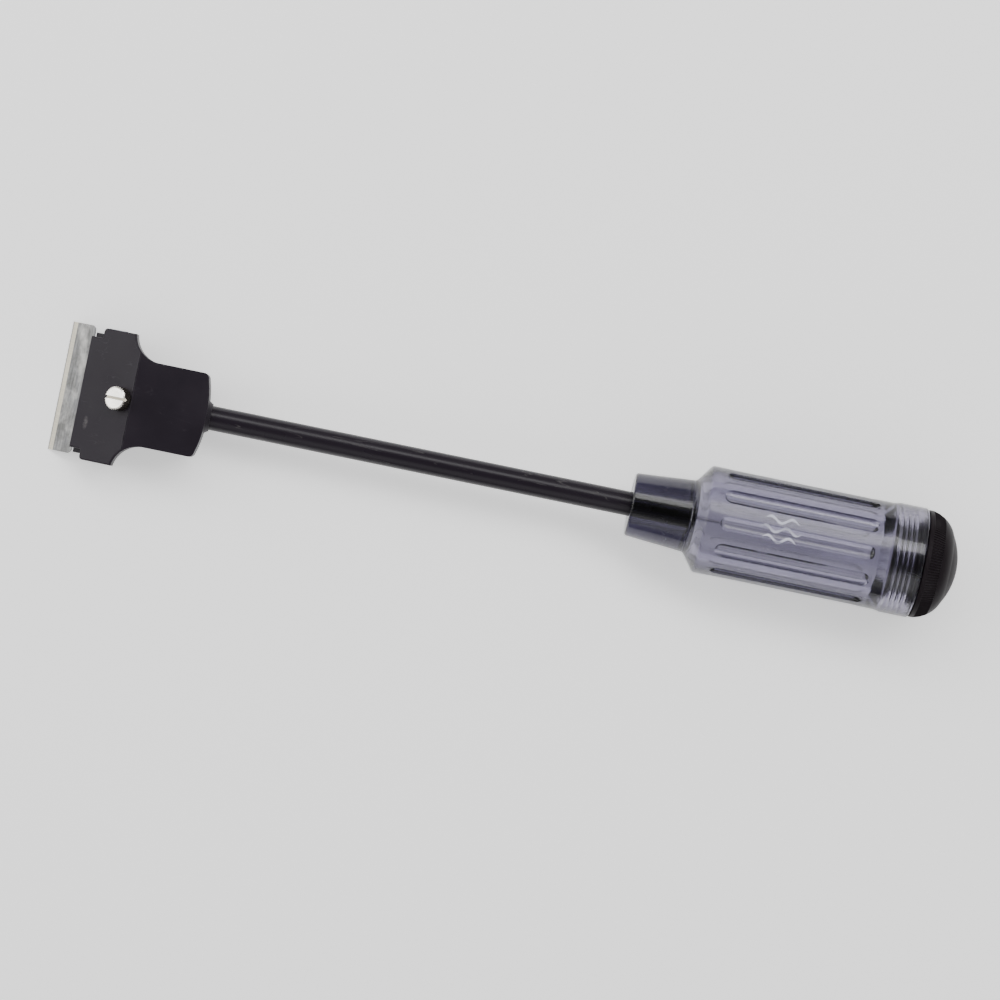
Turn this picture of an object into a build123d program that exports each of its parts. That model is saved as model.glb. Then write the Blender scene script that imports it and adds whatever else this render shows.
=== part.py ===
from build123d import *
import math
import os

os.makedirs("parts", exist_ok=True)

# Algae scraper, millimetres. X runs along the shaft, from the blade (-X) to the cap (+X).
# Z is up, square to the flat neck of the head. The origin is under the middle of the tool,
# at the height of the lowest point of the handle.

# ---- driving dimensions -------------------------------------------------------------------
overall_length = 267.3       # blade edge to the top of the cap
axis_height = 16.3           # shaft axis above the lowest point of the handle

shaft_radius = 3.6
shaft_start = 28.2           # distances marked _start, _end or _at run along X from the blade edge
shaft_end = 189.0
wing_thickness = 1.3         # coined wings that lock the shaft in the handle
wing_radius = 5.6
wing_start = 176.0
wing_length = 8.0

bend_at = 22.1               # bend line between the sloping jaw and the flat neck
bend_angle = 28.0
neck_thickness = 11.0
neck_half_width = 12.4
neck_end = 44.2
body_half_width = 19.5
waist_radius = 8.2           # concave flank between the wide jaw and the neck
jaw_length = 17.9            # bend line to the front of the jaw, along the slope
shoulder_length = 13.7       # bend line to the step where the jaw reaches full width
lip_half_width = 16.5
lower_lip_half_width = 17.8
plate_thickness = 1.7        # upper jaw
slot_height = 1.0            # gap between the jaws, for the blade's folded back
lower_lip_thickness = 1.8
jaw_bottom_run = 4.5         # bend line to the edge where the underside turns down
pad_reach = 6.85             # raised pad behind the blade, bend line to its front
pad_clearance = 0.05         # upper jaw above the pad
butt_gap = 0.15              # between the upper jaw's rear face and the neck
edge_round = 0.5             # outer edges of the upper jaw
neck_round = 1.0             # edges under the neck
boss_height = 1.2            # low collar round the shaft where it leaves the neck
boss_length = 1.2

pin_at = 36.0                # roll pin through the neck and the shaft
pin_radius = 1.0
pin_wall = 0.3
pin_slot = 0.35
pin_top = 2.9                # above the shaft axis
pin_recess = 0.3             # pin below the neck's underside

blade_length = 38.1          # standard single-edge blade
blade_width = 19.05
blade_thickness = 0.25
blade_reach = 26.2           # bend line to the cutting edge, along the slope
blade_offset = 0.6           # the blade is clamped this far to +Y of the middle
bevel_width = 1.8
notch_front = 8.15           # side notches of the blade, behind its edge
notch_back = 12.95
notch_depth = 3.3
shoulder_round = 1.5
hole_back = 11.4             # rear tip of the blade's hole, behind its edge
hole_half_width = 1.6
mounted_hole_front = 8.6
spare_hole_front = 4.8
spine_width = 6.1
spine_thickness = 0.9
spine_round = 0.3
spine_back = 0.25            # closed part of the fold, behind the sheet

screw_from_bend = 3.44
screw_radius = 1.97          # crest of the M4 thread
screw_core_radius = 1.62
screw_pitch = 0.7
screw_head_radius = 3.45
screw_head_height = 3.6
screw_ribs = 30
screw_rib_depth = 0.22
screw_slot_width = 0.85
screw_slot_depth = 1.1
screw_ridge = (0.34, 0.1)    # thread ridge's width at its root and at its crest
screw_turns = 8
screw_hole_radius = 2.1
groove_top = -0.88           # clip groove, heights below the facet
groove_bottom = -1.48
groove_radius = 1.3
clip_radius = 2.6
clip_thickness = 0.5
clip_play = 0.04
clip_recess_radius = 2.8
clip_recess_depth = 0.78
nut_top = -1.3               # below the blade's middle plane
nut_length = 4.5
nut_radius = 2.9
nut_bore_radius = 2.06
nut_crest_radius = 1.73

collar_start = 170.0
collar_end = 187.8
body_start = 191.6
flute_start = 198.2
flute_end = 239.0
mouth_start = 246.8
mouth_end = 255.8
collar_radius_small = 9.3
collar_radius_large = 10.7
grip_radius = 15.9
flute_count = 12
flute_depth = 1.1
flute_width = 4.8
store_radius = 9.9           # bore that holds the spare blade
store_start = 190.2
store_end = 243.0
store_play = 1.2             # end of the bore to the spare blade

thread_pitch = 1.5
mouth_radius = 13.0          # root of the handle's internal thread
mouth_crest_radius = 12.4
spigot_radius = 12.05        # root of the cap's external thread
spigot_crest_radius = 12.8
spigot_start = 247.2
mouth_ridge = (1.3, 0.1)     # thread ridges' width at the root and at the crest
cap_ridge = (0.7, 0.3)
mouth_turns = 4.0
cap_turns = 3.8
thread_lead_in = 0.8

rim_gap = 0.2                # between the handle's mouth and the closed cap
band_width = 1.4             # smooth band of the cap
rib_width = 3.6
rib_middle = 1.8
rib_depth = 0.35
rib_end_radius = 14.5
cap_ribs = 120
cap_recess_radius = 5.6
cap_recess_depth = 11.0
seal_radius = 0.68           # of its round section
seal_seat_radius = 13.6
seal_seat_depth = 1.25
seal_play = 0.02

# ---- frames and helpers -------------------------------------------------------------------
x_edge = -overall_length / 2
axis_line = Axis((0, 0, axis_height), (1, 0, 0))
side_view = Plane(origin=(x_edge, 0, axis_height), x_dir=(1, 0, 0), z_dir=(0, -1, 0))
slope = math.radians(bend_angle)
facet_top = plate_thickness + slot_height / 2      # facet above the blade's middle plane
# local x of the facet runs from the bend line to the blade, local z stands on the facet
facet = Plane(
    origin=(x_edge + bend_at, 0, axis_height + neck_thickness / 2),
    x_dir=(-math.cos(slope), 0, -math.sin(slope)),
    z_dir=(-math.sin(slope), 0, math.cos(slope)),
)
screw_frame = Plane(
    origin=facet.from_local_coords((screw_from_bend, 0, 0)),
    x_dir=facet.x_dir,
    z_dir=facet.z_dir,
)
screw_profile = Plane(origin=screw_frame.origin, x_dir=facet.x_dir, z_dir=-facet.y_dir)
screw_line = Axis(screw_frame.origin, screw_frame.z_dir)

pad_top = slot_height / 2 - pad_clearance      # heights above the blade's middle plane
nut_bottom = nut_top - nut_length
neck_top = neck_thickness / 2                  # heights above the shaft axis
pin_bottom = pin_recess - neck_top
pin_base = Plane(origin=(x_edge + pin_at, 0, axis_height + pin_bottom))
rim_start = mouth_end + rim_gap
rib_start = rim_start + band_width
rib_end = rib_start + rib_width
seal_start = mouth_end - seal_seat_depth


def section(at):
    """Plane square to the shaft, centred on it, at a distance from the blade edge."""
    return Plane(origin=(x_edge + at, 0, axis_height), x_dir=(0, 1, 0), z_dir=(1, 0, 0))


def on_slope(reach, height):
    """Side-view point at a distance from the bend line and above the blade's middle plane."""
    drop = height - facet_top
    return (
        bend_at - reach * math.cos(slope) - drop * math.sin(slope),
        neck_thickness / 2 - reach * math.sin(slope) + drop * math.cos(slope),
    )


def thread_ridge(plane, root, crest, widths, pitch, turns):
    """One right-handed helical ridge round the plane's normal; crest < root makes it internal."""
    root_width, crest_width = widths
    bite = 0.12 if crest > root else -0.12
    with BuildPart() as ridge:
        with BuildLine() as path:
            Helix(pitch, turns * pitch, root)
        with BuildSketch(Plane(origin=(root, 0, 0), x_dir=(1, 0, 0), z_dir=path.line % 0)):
            Polygon(
                (-bite, -root_width / 2),
                (crest - root, -crest_width / 2),
                (crest - root, crest_width / 2),
                (-bite, root_width / 2),
                align=None,
            )
        sweep(path=path.line, is_frenet=True)
    return plane.location * ridge.part


def ribbed_outline(radius, count, depth):
    """Closed outline of a round bar with pointed ribs, as points round its centre."""
    points = []
    for step in range(2 * count):
        reach = radius - depth * (step % 2)
        angle = math.pi * step / count
        points.append((reach * math.cos(angle), reach * math.sin(angle)))
    return points


def save(part, name):
    part.label = name
    export_step(part, f"parts/{name}.step")


# ---- blades -------------------------------------------------------------------------------
def razor_sheet(plane, hole_front):
    """Ground steel sheet. The plane stands at the middle of the edge, its x points out of it."""
    half = blade_length / 2
    notch_half = half - notch_depth
    back = blade_width - spine_back
    hole_front_half = hole_half_width - 0.6
    with BuildPart() as sheet:
        with BuildSketch(plane):
            with BuildLine():
                Polyline((0, 0), (0, half), (shoulder_round - notch_front, half))
                TangentArc(
                    (shoulder_round - notch_front, half),
                    (-notch_front, half - shoulder_round),
                    tangent=(-1, 0),
                )
                Polyline(
                    (-notch_front, half - shoulder_round),
                    (-notch_front, notch_half),
                    (-notch_back, notch_half),
                    (-notch_back, half),
                    (-back, half),
                    (-back, 0),
                    (0, 0),
                )
            make_face()
            mirror(about=Plane.XZ)
            Polygon(
                (-hole_front, hole_front_half),
                (-hole_front - 0.6, hole_half_width),
                (hole_half_width + 0.2 - hole_back, hole_half_width),
                (-hole_back, 0),
                (hole_half_width + 0.2 - hole_back, -hole_half_width),
                (-hole_front - 0.6, -hole_half_width),
                (-hole_front, -hole_front_half),
                align=None,
                mode=Mode.SUBTRACT,
            )
        extrude(amount=blade_thickness / 2, both=True)
        edge_profile = Plane(origin=plane.origin, x_dir=plane.x_dir, z_dir=-plane.y_dir)
        with BuildSketch(edge_profile):
            for side in (1, -1):
                Polygon(
                    (-bevel_width, side * blade_thickness / 2),
                    (0.1, side * 0.01),
                    (0.1, side * blade_thickness),
                    (-bevel_width, side * blade_thickness),
                    align=None,
                )
        extrude(amount=half + 1, both=True, mode=Mode.SUBTRACT)
    return sheet.part


def razor_spine(plane):
    """Folded steel back, open towards the edge and closed behind the sheet."""
    profile = Plane(origin=plane.origin, x_dir=plane.x_dir, z_dir=-plane.y_dir)
    with BuildPart() as spine:
        with BuildSketch(profile):
            with Locations((-blade_width + spine_width / 2, 0)):
                RectangleRounded(spine_width, spine_thickness, spine_round)
            with Locations((-blade_width + spine_back, 0)):
                Rectangle(
                    spine_width,
                    blade_thickness,
                    align=(Align.MIN, Align.CENTER),
                    mode=Mode.SUBTRACT,
                )
        extrude(amount=blade_length / 2, both=True)
    return spine.part


edge_point = facet.from_local_coords((blade_reach, -blade_offset, -facet_top))
blade_frame = Plane(origin=edge_point, x_dir=facet.x_dir, z_dir=facet.z_dir)
store_frame = Plane(
    origin=(x_edge + store_start + store_play + blade_length / 2, 0, axis_height + blade_width / 2),
    x_dir=(0, 0, 1),
    z_dir=(0, 1, 0),
)
save(razor_sheet(blade_frame, mounted_hole_front), "blade")
save(razor_spine(blade_frame), "blade_spine")
save(razor_sheet(store_frame, spare_hole_front), "spare_blade")
save(razor_spine(store_frame), "spare_blade_spine")

# ---- threads ------------------------------------------------------------------------------
# each external ridge runs half a pitch behind the internal one, so they never meet
screw_thread_start = nut_bottom - facet_top + 0.3
nut_thread = thread_ridge(
    screw_frame.offset(screw_thread_start),
    nut_bore_radius,
    nut_crest_radius,
    screw_ridge,
    screw_pitch,
    (nut_length - 0.6) / screw_pitch,
)
screw_thread = thread_ridge(
    screw_frame.offset(screw_thread_start + screw_pitch / 2),
    screw_core_radius,
    screw_radius,
    screw_ridge,
    screw_pitch,
    screw_turns,
)
mouth_thread_start = mouth_start + thread_lead_in
mouth_thread = thread_ridge(
    section(mouth_thread_start),
    mouth_radius,
    mouth_crest_radius,
    mouth_ridge,
    thread_pitch,
    mouth_turns,
)
cap_thread = thread_ridge(
    section(mouth_thread_start + thread_pitch / 2),
    spigot_radius,
    spigot_crest_radius,
    cap_ridge,
    thread_pitch,
    cap_turns,
)

# ---- shaft and its pin --------------------------------------------------------------------
with BuildPart() as shaft:
    with BuildSketch(section(shaft_start)):
        Circle(shaft_radius)
    extrude(amount=shaft_end - shaft_start)
    chamfer(shaft.edges().filter_by(GeomType.CIRCLE), 0.5)
    with BuildSketch(section(wing_start)):
        Rectangle(wing_thickness, 2 * wing_radius)
    extrude(amount=wing_length)
    shaft_blank = Part(shaft.part.wrapped)
    with BuildSketch(pin_base):
        Circle(pin_radius)
    extrude(amount=pin_top - pin_bottom, mode=Mode.SUBTRACT)
save(shaft.part, "shaft")

with BuildPart() as head_pin:
    with BuildSketch(pin_base):
        Circle(pin_radius)
        Circle(pin_radius - pin_wall, mode=Mode.SUBTRACT)
        with Locations((pin_radius, 0)):
            Rectangle(pin_radius, pin_slot, mode=Mode.SUBTRACT)
    extrude(amount=pin_top - pin_bottom)
save(head_pin.part, "head_pin")

# ---- head: lower jaw with neck, upper jaw -------------------------------------------------
def head_plan(lip_half):
    """Plan outline of the head, lip at the front, waist, and the crowned end of the neck."""
    x_front = bend_at - jaw_length * math.cos(slope) - 3
    x_step = bend_at - shoulder_length * math.cos(slope)
    x_neck = bend_at + 5.9
    y_waist = neck_half_width + waist_radius
    flank_angle = math.degrees(math.asin((y_waist - body_half_width) / waist_radius))
    with BuildSketch(Plane(origin=(x_edge, 0, 0))) as plan:
        with BuildLine():
            flank = CenterArc((x_neck, y_waist), waist_radius, 180 + flank_angle, 90 - flank_angle)
            FilletPolyline(
                (x_front, 0),
                (x_front, lip_half),
                (x_step, lip_half),
                (x_step, body_half_width),
                flank @ 0,
                radius=[0.2, 0.3, 1.0],
            )
            side = Line(flank @ 1, (neck_end - 2.9, neck_half_width))
            corner = ThreePointArc(
                side @ 1,
                (neck_end - 1.8, neck_half_width - 0.45),
                (neck_end - 1.3, neck_half_width - 1.5),
            )
            crown = ThreePointArc(
                corner @ 1,
                (neck_end - 0.3, neck_half_width / 2),
                (neck_end, 0),
            )
            Line(crown @ 1, (x_front, 0))
        make_face()
        mirror(about=Plane.XZ)
    return plan.sketch


with BuildPart() as clamp_plate:
    with BuildSketch(side_view):
        Polygon(
            on_slope(butt_gap, facet_top),
            on_slope(jaw_length, facet_top),
            on_slope(jaw_length, slot_height / 2),
            on_slope(butt_gap, slot_height / 2),
            align=None,
        )
    extrude(amount=body_half_width + 2, both=True)
    extrude(head_plan(lip_half_width), amount=2 * axis_height, mode=Mode.INTERSECT)
    outer_face = clamp_plate.faces().sort_by(Axis(facet.origin, facet.z_dir))[-1]
    rear_edge = outer_face.edges().sort_by(Axis.X)[-1]
    fillet([edge for edge in outer_face.edges() if edge != rear_edge], edge_round)
    with BuildSketch(screw_frame):
        Circle(screw_hole_radius)
    extrude(amount=-facet_top, mode=Mode.SUBTRACT)
    with BuildSketch(screw_frame.offset(slot_height / 2 - facet_top)):
        Circle(clip_recess_radius)
    extrude(amount=clip_recess_depth, mode=Mode.SUBTRACT)
save(clamp_plate.part, "clamp_plate")

with BuildPart() as head_base:
    with BuildSketch(side_view):
        Polygon(
            on_slope(0, facet_top),
            on_slope(jaw_length, facet_top),
            on_slope(jaw_length, -slot_height / 2 - lower_lip_thickness),
            (bend_at - jaw_bottom_run, -neck_top),
            (neck_end + 1, -neck_top),
            (neck_end + 1, neck_top),
            align=None,
        )
    extrude(amount=body_half_width + 2, both=True)
    extrude(head_plan(lower_lip_half_width), amount=2 * axis_height, mode=Mode.INTERSECT)
    with BuildSketch(side_view):
        Polygon(
            on_slope(0, 3 * facet_top),
            on_slope(0, pad_top),
            on_slope(pad_reach, pad_top),
            on_slope(pad_reach, -slot_height / 2),
            on_slope(jaw_length + 3, -slot_height / 2),
            on_slope(jaw_length + 3, 3 * facet_top),
            align=None,
        )
    extrude(amount=body_half_width + 2, both=True, mode=Mode.SUBTRACT)
    underside = head_base.faces().filter_by(Axis.Z).sort_by(Axis.Z)[0]
    fillet([edge for edge in underside.edges() if edge.center().X > facet.origin.X + 3], neck_round)
    with BuildSketch(side_view):
        Polygon(
            (neck_end - 2, 0),
            (neck_end - 2, shaft_radius + boss_height),
            (neck_end, shaft_radius + boss_height),
            (neck_end + boss_length, shaft_radius + boss_height / 3),
            (neck_end + boss_length, 0),
            align=None,
        )
    revolve(axis=axis_line)
    with BuildSketch(screw_frame.offset(pad_top - facet_top)):
        Circle(screw_hole_radius)
    extrude(amount=nut_top - pad_top, mode=Mode.SUBTRACT)
    with BuildSketch(screw_frame.offset(nut_top - facet_top)):
        Circle(nut_radius)
    extrude(amount=-neck_thickness, mode=Mode.SUBTRACT)
    with BuildSketch(pin_base.offset(-1)):
        Circle(pin_radius)
    extrude(amount=-pin_bottom + 1, mode=Mode.SUBTRACT)
    add(shaft_blank, mode=Mode.SUBTRACT)
save(head_base.part, "head_base")

# ---- clamp screw, its captive clip and the threaded insert --------------------------------
screw_end = nut_bottom + 0.2 - facet_top

with BuildPart() as clamp_screw:
    with BuildSketch(screw_frame):
        Polygon(*ribbed_outline(screw_head_radius, screw_ribs, screw_rib_depth), align=None)
    extrude(amount=screw_head_height)
    with BuildSketch(screw_profile):
        Polygon(
            (0, 0),
            (screw_head_radius - 0.1, 0),
            (screw_head_radius + 0.5, 0.6),
            (screw_head_radius + 0.5, screw_head_height - 0.6),
            (screw_head_radius - 0.5, screw_head_height),
            (0, screw_head_height),
            align=None,
        )
    revolve(axis=screw_line, mode=Mode.INTERSECT)
    with BuildSketch(screw_frame.offset(screw_head_height)):
        Rectangle(3 * screw_head_radius, screw_slot_width)
    extrude(amount=-screw_slot_depth, mode=Mode.SUBTRACT)
    with BuildSketch(screw_profile):
        Polygon(
            (0, 0),
            (screw_radius, 0),
            (screw_radius, groove_top),
            (groove_radius, groove_top),
            (groove_radius, groove_bottom),
            (screw_core_radius, groove_bottom),
            (screw_core_radius, screw_end + 0.4),
            (screw_core_radius - 0.4, screw_end),
            (0, screw_end),
            align=None,
        )
    revolve(axis=screw_line)
    add(screw_thread)
save(clamp_screw.part, "clamp_screw")

with BuildPart() as screw_clip:
    with BuildSketch(screw_frame.offset(groove_top - clip_play)):
        Circle(clip_radius)
        Circle(groove_radius + 0.1, mode=Mode.SUBTRACT)
        with Locations((clip_radius, 0)):
            Rectangle(2 * clip_radius, 2 * groove_radius - 0.3, mode=Mode.SUBTRACT)
    extrude(amount=-clip_thickness)
save(screw_clip.part, "screw_clip")

with BuildPart() as clamp_nut:
    with BuildSketch(screw_frame.offset(nut_top - facet_top)):
        Circle(nut_radius)
        Circle(nut_bore_radius, mode=Mode.SUBTRACT)
    extrude(amount=-nut_length)
    add(nut_thread)
save(clamp_nut.part, "clamp_nut")

# ---- handle -------------------------------------------------------------------------------
flute_cutter = (flute_width**2 / 4 + flute_depth**2) / (2 * flute_depth)
flute_centre = grip_radius - flute_depth + flute_cutter

with BuildPart() as handle_shell:
    with BuildSketch(side_view):
        with BuildLine():
            FilletPolyline(
                (collar_start, 0),
                (collar_start, collar_radius_small),
                (collar_end, collar_radius_large),
                (body_start, grip_radius),
                (mouth_start - 1.2, grip_radius),
                (mouth_start + 0.8, axis_height),
                (mouth_end, axis_height),
                (mouth_end, 0),
                radius=[0.9, 1.5, 1.4, 2.0, 2.0, 0.6],
            )
            Line((mouth_end, 0), (collar_start, 0))
        make_face()
    revolve(axis=axis_line)
    with BuildSketch(side_view):
        with BuildLine():
            FilletPolyline(
                (store_start, 0),
                (store_start, store_radius),
                (store_end, store_radius),
                (store_end + 3.6, mouth_radius),
                (seal_start, mouth_radius),
                (seal_start, seal_seat_radius),
                (mouth_end + 1, seal_seat_radius),
                (mouth_end + 1, 0),
                radius=[1.2, 1.0, 1.0, 0.05, 0.05, 0.05],
            )
            Line((mouth_end + 1, 0), (store_start, 0))
        make_face()
    revolve(axis=axis_line, mode=Mode.SUBTRACT)
    with BuildSketch(section(flute_start)):
        with PolarLocations(flute_centre, flute_count):
            Circle(flute_cutter)
    extrude(amount=flute_end - flute_start, mode=Mode.SUBTRACT)
    for end in (flute_start, flute_end):
        with Locations(section(end)):
            with PolarLocations(flute_centre, flute_count):
                Sphere(flute_cutter, mode=Mode.SUBTRACT)
    add(mouth_thread)
    add(shaft_blank, mode=Mode.SUBTRACT)
save(handle_shell.part, "handle_shell")

# ---- cap and its seal ---------------------------------------------------------------------
with BuildPart() as cap:
    with BuildSketch(side_view):
        with BuildLine():
            FilletPolyline(
                (spigot_start, 0),
                (spigot_start, spigot_radius),
                (rim_start, spigot_radius),
                (rim_start, grip_radius),
                (rib_start, grip_radius),
                (rib_start, grip_radius - rib_depth - 0.1),
                (rib_start + rib_middle, grip_radius - 0.6 - rib_depth),
                (rib_end, rib_end_radius - rib_depth),
                (rib_end, rib_end_radius - 0.05),
                radius=[0.8, 0.05, 0.5, 0.1, 0.05, 0.5, 0.05],
            )
            shoulder = ThreePointArc(
                (rib_end, rib_end_radius - 0.05),
                (rib_end + 2.0, rib_end_radius - 1.75),
                (rib_end + 3.4, rib_end_radius - 4.1),
            )
            apex = (overall_length, 0)
            dome_drop = apex[0] - (rib_end + 3.4)
            dome_edge = rib_end_radius - 4.1
            dome_radius = (dome_edge**2 + dome_drop**2) / (2 * dome_drop)
            RadiusArc(shoulder @ 1, apex, dome_radius)
            Line(apex, (spigot_start, 0))
        make_face()
    revolve(axis=axis_line)
    for at, radius in (
        (rib_start, grip_radius),
        (rib_start + rib_middle, grip_radius - 0.5),
        (rib_end, rib_end_radius),
    ):
        with BuildSketch(section(at)):
            Polygon(*ribbed_outline(radius, cap_ribs, rib_depth), align=None)
    loft(ruled=True)
    with BuildSketch(section(spigot_start)):
        Circle(cap_recess_radius)
    extrude(amount=cap_recess_depth, mode=Mode.SUBTRACT)
    add(cap_thread)
save(cap.part, "cap")

with BuildPart() as cap_seal:
    with BuildSketch(side_view):
        with Locations((rim_start - seal_radius - seal_play, spigot_radius + seal_radius + seal_play)):
            Circle(seal_radius)
    revolve(axis=axis_line)
save(cap_seal.part, "cap_seal")
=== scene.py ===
"""Looks of the algae scraper: materials, printed mark, floor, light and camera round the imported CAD."""

import math

import bpy
from mathutils import Matrix, Vector
from mathutils.bvhtree import BVHTree


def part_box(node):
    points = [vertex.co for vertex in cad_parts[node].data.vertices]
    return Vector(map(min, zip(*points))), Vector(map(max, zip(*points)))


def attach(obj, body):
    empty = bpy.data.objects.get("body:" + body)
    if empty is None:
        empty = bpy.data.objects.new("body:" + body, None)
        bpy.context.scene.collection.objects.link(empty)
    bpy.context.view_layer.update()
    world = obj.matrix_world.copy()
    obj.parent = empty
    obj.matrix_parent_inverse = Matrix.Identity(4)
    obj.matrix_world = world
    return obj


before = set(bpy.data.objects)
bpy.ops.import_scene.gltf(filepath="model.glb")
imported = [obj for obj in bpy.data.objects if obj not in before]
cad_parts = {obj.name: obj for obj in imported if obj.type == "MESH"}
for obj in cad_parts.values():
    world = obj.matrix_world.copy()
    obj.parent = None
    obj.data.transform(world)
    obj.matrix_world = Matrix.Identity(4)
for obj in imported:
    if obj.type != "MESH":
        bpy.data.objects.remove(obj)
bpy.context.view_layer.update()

MM = 0.001
MICRON = 0.000001
SLOPE = math.radians(28)                       # the jaw's facet and the blade, below the shaft axis
CUTTING_EDGE = Vector((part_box("blade")[0][0], 0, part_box("blade")[0][2]))
SPARE_EDGE_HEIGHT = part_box("spare_blade")[1][2]
SCREW_TOP = Vector((-116.28, 0, 23.36)) * MM   # middle of the clamp screw's slotted face
HANDLE_LOW, HANDLE_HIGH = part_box("handle_shell")
CAP_LOW, CAP_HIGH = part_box("cap")
AXIS_HEIGHT = CAP_LOW[2] + (CAP_HIGH[2] - CAP_LOW[2]) / 2


# ---- small helpers for node trees ---------------------------------------------------------
def grey(value):
    return (value, value, value, 1)


class Shader:
    """One procedural material: a Principled shader and the nodes that feed it."""

    def __init__(self, name, **values):
        self.material = bpy.data.materials.new(name)
        self.material.use_nodes = True
        self.tree = self.material.node_tree
        self.bsdf = self.tree.nodes["Principled BSDF"]
        self.coords = self.node("ShaderNodeTexCoord").outputs["Object"]
        for key, value in values.items():
            self.bsdf.inputs[key.replace("_", " ")].default_value = value

    def node(self, kind, **settings):
        made = self.tree.nodes.new(kind)
        for key, value in settings.items():
            setattr(made, key, value)
        return made

    def link(self, source, target):
        self.tree.links.new(source, target)

    def put(self, source, target):
        """Give a socket a number, a colour or another node's output."""
        if hasattr(source, "is_output"):
            self.link(source, target)
        else:
            target.default_value = source

    def set(self, key, source):
        self.link(source, self.bsdf.inputs[key])

    def source(self, key):
        """The output that feeds one of the Principled shader's sockets."""
        return self.bsdf.inputs[key].links[0].from_socket

    def axis(self, key):
        made = self.node("ShaderNodeSeparateXYZ")
        self.link(self.coords, made.inputs["Vector"])
        return made.outputs[key]

    def mapped(self, stretch, turn=(0, 0, 0)):
        made = self.node("ShaderNodeMapping")
        self.link(self.coords, made.inputs["Vector"])
        made.inputs["Scale"].default_value = stretch
        made.inputs["Rotation"].default_value = turn
        return made.outputs["Vector"]

    def noise(self, scale, detail=4.0, rough=0.6, stretch=None, turn=(0, 0, 0), distortion=0.0):
        """Noise of the object's own coordinates, pulled out along the axes where stretch is small."""
        made = self.node("ShaderNodeTexNoise")
        self.link(self.mapped(stretch, turn) if stretch else self.coords, made.inputs["Vector"])
        made.inputs["Scale"].default_value = scale
        made.inputs["Detail"].default_value = detail
        made.inputs["Roughness"].default_value = rough
        made.inputs["Distortion"].default_value = distortion
        return made.outputs["Fac"]

    def span(self, source, low, high, to_low=0.0, to_high=1.0):
        """Map low..high to to_low..to_high, held at the ends."""
        made = self.node("ShaderNodeMapRange")
        ends = {"From Min": low, "From Max": high, "To Min": to_low, "To Max": to_high}
        for key, value in ends.items():
            made.inputs[key].default_value = value
        self.link(source, made.inputs["Value"])
        return made.outputs["Result"]

    def maths(self, operation, first, second=0.0):
        made = self.node("ShaderNodeMath", operation=operation)
        self.put(first, made.inputs[0])
        self.put(second, made.inputs[1])
        return made.outputs["Value"]

    def plus(self, first, second):
        return self.maths("ADD", first, second)

    def minus(self, first, second):
        return self.maths("SUBTRACT", first, second)

    def times(self, first, second):
        return self.maths("MULTIPLY", first, second)

    def distance(self, vector, point):
        made = self.node("ShaderNodeVectorMath", operation="DISTANCE")
        self.link(vector, made.inputs[0])
        made.inputs[1].default_value = point
        return made.outputs["Value"]

    def mix(self, factor, first, second):
        made = self.node("ShaderNodeMix", data_type="RGBA")
        self.put(factor, made.inputs["Factor"])
        for value, socket in ((first, made.inputs["A"]), (second, made.inputs["B"])):
            self.put((*value, 1) if isinstance(value, tuple) else value, socket)
        return made.outputs["Result"]

    def bump(self, height, distance, strength, normal=None):
        made = self.node("ShaderNodeBump")
        self.link(height, made.inputs["Height"])
        made.inputs["Distance"].default_value = distance
        made.inputs["Strength"].default_value = strength
        if normal is not None:
            self.link(normal, made.inputs["Normal"])
        return made.outputs["Normal"]

    def edges(self, radius):
        """1 on edges and corners, 0 on open faces, by how far a bevelled normal leaves the true one."""
        bevel = self.node("ShaderNodeBevel", samples=6)
        bevel.inputs["Radius"].default_value = radius
        true_normal = self.node("ShaderNodeNewGeometry").outputs["Normal"]
        made = self.node("ShaderNodeVectorMath", operation="DOT_PRODUCT")
        self.link(bevel.outputs["Normal"], made.inputs[0])
        self.link(true_normal, made.inputs[1])
        return self.span(made.outputs["Value"], 0.99, 0.86)

    def scratches(self, scale, stretch, turn, width):
        """Thin broken lines, 1 in a scratch, from a noise pulled out along one direction."""
        drift = self.minus(self.noise(scale, 2.0, 0.5, stretch, turn), 0.5)
        line = self.span(self.maths("ABSOLUTE", drift), 0.0, width, 1.0, 0.0)
        broken = self.span(self.noise(scale * 0.7, 2.0, 0.5), 0.52, 0.62)
        return self.times(line, broken)


def dress(node, material):
    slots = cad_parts[node].data.materials
    slots.clear()
    slots.append(material)


# ---- camera -------------------------------------------------------------------------------
TOOL_ROLL = math.radians(11.6)       # the tool's axis runs down to the right
VIEW_TILT = math.radians(1.2)        # the cap end is a little further from the camera
DISTANCE = 1.166
AIM = Vector((-0.0010, -0.0065, AXIS_HEIGHT))

camera_data = bpy.data.cameras.new("camera")
camera_data.lens = 144
camera_data.sensor_width = 36
camera = bpy.data.objects.new("camera", camera_data)
bpy.context.scene.collection.objects.link(camera)
back = Vector((-math.sin(VIEW_TILT), 0, math.cos(VIEW_TILT)))
right = Vector((math.cos(VIEW_TILT), 0, math.sin(VIEW_TILT)))
up = back.cross(right)
rolled_right = right * math.cos(TOOL_ROLL) + up * math.sin(TOOL_ROLL)
rolled_up = back.cross(rolled_right)
camera_axes = Matrix((rolled_right, rolled_up, back)).transposed()
camera.matrix_world = Matrix.Translation(AIM + back * DISTANCE) @ camera_axes.to_4x4()
bpy.context.scene.camera = camera


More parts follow.
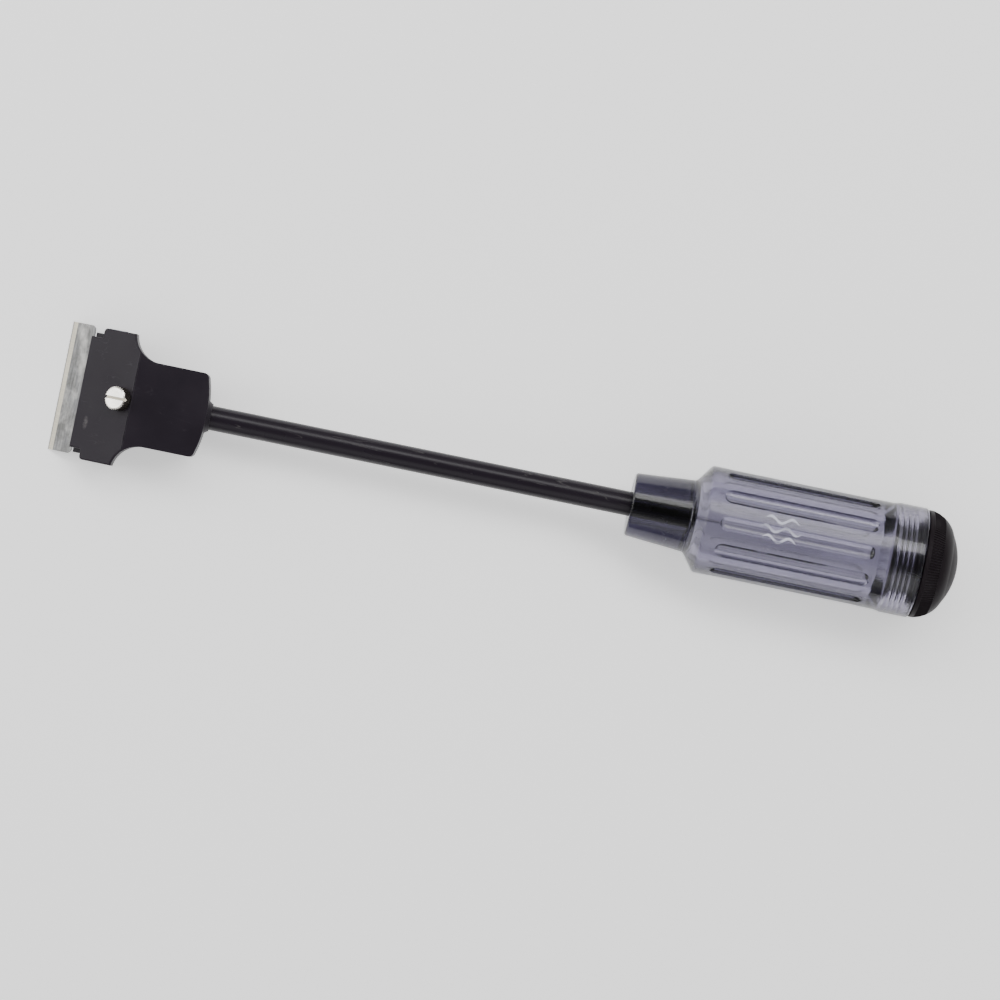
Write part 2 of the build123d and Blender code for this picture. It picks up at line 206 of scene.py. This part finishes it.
# ---- materials ----------------------------------------------------------------------------
def handle_plastic():
    """Smoke-violet clear plastic, with painted shade in the thick collar and at the rims, and painted
    light and dark rings at the mouth.
    """
    collar_start, collar_end = HANDLE_LOW[0] + 16.5 * MM, HANDLE_LOW[0] + 19.0 * MM
    mouth_start, mouth_end = HANDLE_HIGH[0] - 10.6 * MM, HANDLE_HIGH[0] - 9.6 * MM
    thread_pitch = 1.5 * MM
    collar_shade_tint, wall_tint = (0.15, 0.135, 0.22), (0.93, 0.92, 0.98)
    thread_shade_tint, thread_light_tint = (0.50, 0.47, 0.60), (1.0, 1.0, 1.0)
    cloud_tint, rim_shade_tint = (0.62, 0.60, 0.74), (0.10, 0.09, 0.17)
    smoke, smoke_density = (0.17, 0.14, 0.30, 1), 112

    made = Shader("handle_smoke", IOR=1.485, Transmission_Weight=1.0)
    along = made.axis("X")
    # painted shade: the thick collar's tint is made dark, standing in for the shade that fills it
    tint = made.mix(made.span(along, collar_start, collar_end), collar_shade_tint, wall_tint)
    # painted light and shade: bright and dark rings at the thread pitch stand in for the light the
    # mouth's thread flanks reflect
    turns = made.times(made.minus(along, HANDLE_LOW[0]), 2 * math.pi / thread_pitch)
    rings = made.span(made.maths("SINE", turns), -0.5, 0.5)
    painted_thread_band = made.mix(rings, thread_shade_tint, thread_light_tint)
    tint = made.mix(made.span(along, mouth_start, mouth_end), tint, painted_thread_band)
    cloud = made.noise(70, stretch=(0.4, 1, 1))
    tint = made.mix(made.span(cloud, 0.35, 0.7, 0.0, 0.25), tint, cloud_tint)
    # painted shade: the tint darkens where the surface turns away, standing in for the dark rims clear
    # plastic shows at its outline
    rim = made.node("ShaderNodeLayerWeight")
    rim.inputs["Blend"].default_value = 0.5
    tint = made.mix(made.span(rim.outputs["Facing"], 0.32, 0.78, 0.0, 0.9), tint, rim_shade_tint)
    made.set("Base Color", tint)

    haze = made.noise(90, 5.0)
    rub = made.scratches(260, (0.3, 1.2, 1.2), (0, 0, 0.2), 0.015)
    rough = made.span(haze, 0.3, 0.75, 0.10, 0.22)
    made.set("Roughness", made.plus(rough, made.times(rub, 0.12)))
    flow = made.noise(160, 2.0, 0.5, stretch=(0.2, 1, 1))
    made.set("Normal", made.bump(flow, 30 * MICRON, 0.3))

    depth = made.node("ShaderNodeVolumeAbsorption")
    depth.inputs["Color"].default_value = smoke
    depth.inputs["Density"].default_value = smoke_density
    output = next(n for n in made.tree.nodes if n.type == "OUTPUT_MATERIAL")
    made.link(depth.outputs["Volume"], output.inputs["Volume"])
    return made.material


def moulded_black(name, colour, grain, wear_colour, edge_radius, shine):
    """Black moulded plastic with a fine grain, rubbed edges, faint scratches and dust."""
    rough = 0.42
    made = Shader(name, Specular_IOR_Level=shine)
    worn = made.times(made.edges(edge_radius), made.span(made.noise(300), 0.35, 0.65))
    cloud = made.noise(45, 5.0)
    lines = made.scratches(260, (0.3, 1.6, 1), (0, 0, 0.5), 0.012)
    base = made.mix(cloud, tuple(c * 0.8 for c in colour), tuple(c * 1.25 for c in colour))
    base = made.mix(made.times(worn, 0.55), base, wear_colour)
    base = made.mix(made.times(lines, 0.2), base, wear_colour)
    made.set("Base Color", base)
    rough_map = made.span(cloud, 0.3, 0.7, rough - 0.06, rough + 0.08)
    made.set("Roughness", made.plus(rough_map, made.times(worn, -0.1)))
    fine = made.bump(made.noise(grain, 3.0), 30 * MICRON, 0.5)
    made.set("Normal", made.bump(lines, 20 * MICRON, -0.6, fine))
    return made


def head_plastic():
    """The head's black, with a pale rub on the facet where a previous blade was levered off."""
    colour, wear, rub_colour = (0.0115, 0.008, 0.0135), (0.06, 0.055, 0.065), (0.16, 0.15, 0.15)
    squash = 0.45                    # below 1, it draws the round rub out along Y
    rub_middle = (CUTTING_EDGE.x + 10 * MM, -8.6 * squash * MM, CUTTING_EDGE.z + 7.4 * MM)

    made = moulded_black("head_black", colour, 1900, wear, 0.5 * MM, 0.25)
    away = made.distance(made.mapped((1, squash, 1)), rub_middle)
    rub = made.span(away, 0.3 * MM, 1.1 * MM, 0.55, 0.0)
    rub = made.times(rub, made.span(made.noise(900, 3.0, 0.55), 0.35, 0.6))
    made.set("Base Color", made.mix(rub, made.source("Base Color"), rub_colour))
    return made.material


def cap_plastic():
    colour, wear = (0.013, 0.010, 0.012), (0.05, 0.046, 0.05)
    return moulded_black("cap_black", colour, 1400, wear, 0.3 * MM, 0.05).material


def shaft_enamel():
    """Glossy black enamel over steel, with a slight orange peel and hairline scratches."""
    dark, light, scratched = (0.009, 0.0065, 0.0105), (0.019, 0.0145, 0.021), (0.12, 0.115, 0.11)
    made = Shader("shaft_black", Specular_IOR_Level=0.22)
    cloud = made.noise(60, stretch=(0.3, 1, 1))
    lines = made.scratches(200, (0.2, 1.5, 1.5), (0, 0.1, 0.1), 0.012)
    made.set("Base Color", made.mix(made.times(lines, 0.35), made.mix(cloud, dark, light), scratched))
    made.set("Roughness", made.plus(made.span(cloud, 0.3, 0.7, 0.20, 0.32), made.times(lines, 0.2)))
    made.set("Normal", made.bump(made.noise(700, 2.0, 0.55), 20 * MICRON, 0.35))
    return made.material


def from_mounted_edge(shader):
    """Distance in metres from the mounted blade's cutting edge, back along the sheet."""
    across = shader.times(shader.minus(shader.axis("X"), CUTTING_EDGE.x), math.cos(SLOPE))
    rise = shader.times(shader.minus(shader.axis("Z"), CUTTING_EDGE.z), math.sin(SLOPE))
    return shader.plus(across, rise)


def from_spare_edge(shader):
    """Distance in metres from the spare blade's cutting edge, which stands uppermost."""
    return shader.minus(SPARE_EDGE_HEIGHT, shader.axis("Z"))


def blade_steel(name, from_edge):
    """Rolled strip with lengthwise lines, stains and smears, and a pale bevel ground along the edge."""
    sheet_dark, sheet_light = (0.09, 0.09, 0.095), (0.30, 0.30, 0.295)
    stain_colour, smear_colour = (0.07, 0.069, 0.063), (0.50, 0.49, 0.47)
    bevel_dark, bevel_light, tip_colour = (0.42, 0.39, 0.31), (0.74, 0.70, 0.60), (0.32, 0.31, 0.29)

    made = Shader(name, Metallic=1.0)
    away = from_edge(made)
    bevel = made.span(away, 1.65 * MM, 1.85 * MM, 1.0, 0.0)
    tip = made.span(away, 0.30 * MM, 0.45 * MM, 1.0, 0.0)
    rolled = made.noise(420, rough=0.65, stretch=(3.5, 0.25, 3.5))
    ground = made.noise(900, 3.0, stretch=(0.15, 4, 0.15))
    stain = made.span(made.noise(160, 6.0, 0.7, distortion=0.6), 0.42, 0.62)
    smear = made.span(made.noise(260, 3.0, 0.55, stretch=(1, 0.6, 1)), 0.55, 0.80)
    sheet = made.mix(made.span(rolled, 0.3, 0.7), sheet_dark, sheet_light)
    sheet = made.mix(made.times(stain, 0.6), sheet, stain_colour)
    sheet = made.mix(made.times(smear, 0.6), sheet, smear_colour)
    edge = made.mix(tip, made.mix(ground, bevel_dark, bevel_light), tip_colour)
    made.set("Base Color", made.mix(bevel, sheet, edge))
    sheet_rough = made.span(rolled, 0.3, 0.7, 0.30, 0.46)
    made.set("Roughness", made.plus(sheet_rough, made.times(bevel, 0.08)))
    made.set("Normal", made.bump(made.mix(bevel, rolled, ground), 10 * MICRON, 0.5))
    return made.material


def spine_steel():
    """The blades' folded backs, rolled lengthwise."""
    dark, light = (0.20, 0.20, 0.22), (0.38, 0.38, 0.41)
    made = Shader("spine_steel", Metallic=1.0)
    rolled = made.noise(380, rough=0.65, stretch=(2.5, 0.3, 2.5))
    made.set("Base Color", made.mix(made.span(rolled, 0.3, 0.7), dark, light))
    made.set("Roughness", made.span(rolled, 0.3, 0.7, 0.24, 0.42))
    made.set("Normal", made.bump(rolled, 10 * MICRON, 0.5))
    return made.material


def screw_nickel():
    """Nickel plate, with painted light on the turned top and painted shade on the knurl and the thread.
    """
    lit_top_dark, lit_top_light, worn_colour = (0.86, 0.81, 0.73), (1.0, 0.97, 0.92), (0.97, 0.95, 0.9)
    shaded_side_dark, shaded_side_light = (0.20, 0.18, 0.14), (0.40, 0.37, 0.30)
    ring_waves = 26000               # radians per metre: a turning mark every 0.24 mm

    made = Shader("screw_nickel", Metallic=1.0)
    rings = made.maths("SINE", made.times(made.distance(made.coords, SCREW_TOP), ring_waves))
    rise = made.times(made.minus(made.axis("Z"), SCREW_TOP.z), math.cos(SLOPE))
    lean = made.times(made.minus(made.axis("X"), SCREW_TOP.x), -math.sin(SLOPE))
    # painted light and shade: the top that faces the key light is near white, the knurl and thread below
    # it dark
    lit_top_mask = made.span(made.plus(rise, lean), -0.9 * MM, -0.4 * MM)
    cloud = made.noise(500)
    side = made.mix(cloud, shaded_side_dark, shaded_side_light)
    base = made.mix(lit_top_mask, side, made.mix(cloud, lit_top_dark, lit_top_light))
    worn = made.times(made.edges(0.2 * MM), 0.35)
    made.set("Base Color", made.mix(worn, base, worn_colour))
    made.set("Roughness", made.span(cloud, 0.3, 0.7, 0.20, 0.36))
    made.set("Normal", made.bump(rings, 6 * MICRON, 0.4))
    return made.material


def plain_metal(name, dark, light, rough):
    made = Shader(name, Metallic=1.0)
    cloud = made.noise(350)
    made.set("Base Color", made.mix(cloud, dark, light))
    made.set("Roughness", made.span(cloud, 0.3, 0.7, rough - 0.06, rough + 0.1))
    made.set("Normal", made.bump(made.noise(1500, 2.0, 0.55), 10 * MICRON, 0.4))
    return made.material


def seal_rubber():
    made = Shader("seal_rubber", Specular_IOR_Level=0.35)
    cloud = made.noise(400)
    made.set("Base Color", made.mix(cloud, (0.012, 0.012, 0.012), (0.03, 0.03, 0.03)))
    made.set("Roughness", made.span(cloud, 0.3, 0.7, 0.5, 0.7))
    return made.material


head_black = head_plastic()
dress("handle_shell", handle_plastic())
dress("head_base", head_black)
dress("clamp_plate", head_black)
dress("cap", cap_plastic())
dress("shaft", shaft_enamel())
dress("blade", blade_steel("blade_steel", from_mounted_edge))
dress("spare_blade", blade_steel("spare_steel", from_spare_edge))
for spine in ("blade_spine", "spare_blade_spine"):
    dress(spine, spine_steel())
dress("clamp_screw", screw_nickel())
dress("screw_clip", plain_metal("clip_steel", (0.25, 0.25, 0.27), (0.42, 0.42, 0.44), 0.35))
dress("head_pin", plain_metal("pin_steel", (0.22, 0.22, 0.24), (0.38, 0.38, 0.40), 0.38))
dress("clamp_nut", plain_metal("nut_brass", (0.55, 0.40, 0.16), (0.78, 0.60, 0.28), 0.3))
dress("cap_seal", seal_rubber())

# ---- rounded edges on the moulded head ----------------------------------------------------
head_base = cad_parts["head_base"]
flatten = head_base.modifiers.new("flatten", "DECIMATE")
flatten.decimate_type = "DISSOLVE"
flatten.angle_limit = math.radians(0.5)
soften = head_base.modifiers.new("soften", "BEVEL")
soften.width = 0.45 * MM
soften.segments = 3
soften.limit_method = "ANGLE"
soften.angle_limit = math.radians(35)
soften.harden_normals = True


# ---- generic printed mark: three wavy water lines -----------------------------------------
def printed_waves():
    """Thin ink ribbons laid on the fluted grip, on the side that faces up."""
    centre_x = HANDLE_LOW[0] + 43.4 * MM
    length, wave_height, stroke = 12.5 * MM, 0.8 * MM, 0.8 * MM
    rows = ((4.0 * MM, 0.8), (1.2 * MM, 1.0), (-1.6 * MM, 0.8))   # place across, share of the length
    steps = 72
    ray_start = HANDLE_HIGH[2] + 10 * MM
    ink_gap, ink_depth = 0.03 * MM, 0.02 * MM

    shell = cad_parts["handle_shell"].data
    tree = BVHTree.FromPolygons([v.co for v in shell.vertices], [p.vertices for p in shell.polygons])
    vertices, faces = [], []
    for lift, share in rows:
        reach = length * share
        for step in range(steps + 1):
            t = step / steps
            x = centre_x + (t - 0.5) * reach
            middle = lift + wave_height * math.sin(t * reach / length * 4 * math.pi)
            half = stroke / 2 * min(1.0, 0.15 + 5 * min(t, 1 - t))      # the ends taper
            for y in (middle - half, middle + half):
                hit = tree.ray_cast(Vector((x, y, ray_start)), Vector((0, 0, -1)))[0]
                vertices.append((x, y, hit.z + ink_gap))
            if step:
                last = len(vertices)
                faces.append((last - 4, last - 3, last - 1, last - 2))
    mesh = bpy.data.meshes.new("printed_waves")
    mesh.from_pydata(vertices, [], faces)
    mesh.update()
    mark = bpy.data.objects.new("printed_waves", mesh)
    bpy.context.scene.collection.objects.link(mark)
    skin = mark.modifiers.new("film", "SOLIDIFY")
    skin.thickness = ink_depth
    ink = Shader("print_white", Roughness=0.5)
    fade = ink.noise(1500, 3.0)
    ink.set("Base Color", ink.mix(fade, (0.42, 0.42, 0.52), (0.70, 0.70, 0.82)))
    mesh.materials.append(ink.material)
    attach(mark, "root")


printed_waves()


# ---- floor and light ----------------------------------------------------------------------
def make_floor():
    """A pale sheet under the tool, which lies on its handle's rim and the two blade corners."""
    rest_x = HANDLE_HIGH[0] - 6 * MM
    slope = math.atan2(CUTTING_EDGE.z - HANDLE_LOW[2], rest_x - CUTTING_EDGE.x)
    place = (rest_x, 0, HANDLE_LOW[2] - 0.1 * MM)
    bpy.ops.mesh.primitive_plane_add(size=6, location=place)
    floor = bpy.context.object
    floor.name = "floor"
    floor.rotation_euler = (0, slope, 0)
    sheet = Shader("floor_white", Base_Color=grey(0.9), Roughness=0.85, Specular_IOR_Level=0.2,
                   Emission_Color=grey(1.0), Emission_Strength=0.6)
    floor.data.materials.append(sheet.material)


def soft_box(name, place, size, power):
    light = bpy.data.lights.new(name, "AREA")
    light.shape = "RECTANGLE"
    light.size, light.size_y = size
    light.energy = power
    lamp = bpy.data.objects.new(name, light)
    bpy.context.scene.collection.objects.link(lamp)
    lamp.location = place
    lamp.rotation_euler = (AIM - Vector(place)).to_track_quat("-Z", "Y").to_euler()


def studio_dome():
    """World light: dim at the horizon, brightest half-way up, dark straight above at the camera."""
    levels = ((0.0, 0.10), (0.35, 0.55), (0.75, 0.72), (0.96, 0.10))    # height 0..1, brightness
    world = bpy.data.worlds.new("studio")
    world.use_nodes = True
    nodes, links = world.node_tree.nodes, world.node_tree.links
    place = nodes.new("ShaderNodeTexCoord")
    split = nodes.new("ShaderNodeSeparateXYZ")
    links.new(place.outputs["Generated"], split.inputs["Vector"])
    fall = nodes.new("ShaderNodeValToRGB")
    points = fall.color_ramp.elements
    while len(points) < len(levels):
        points.new(0.5)
    for point, (height, level) in zip(points, levels):
        point.position = height
        point.color = grey(level)
    links.new(split.outputs["Z"], fall.inputs["Fac"])
    links.new(fall.outputs["Color"], nodes["Background"].inputs["Color"])
    bpy.context.scene.world = world


make_floor()
soft_box("key_light", (-0.95, 0.25, 0.65), (1.0, 0.6), 6)
soft_box("back_light", (0.2, 0.6, 1.0), (1.6, 0.4), 10)
soft_box("fill_light", (0.4, -0.95, 0.9), (1.6, 1.0), 3)
studio_dome()
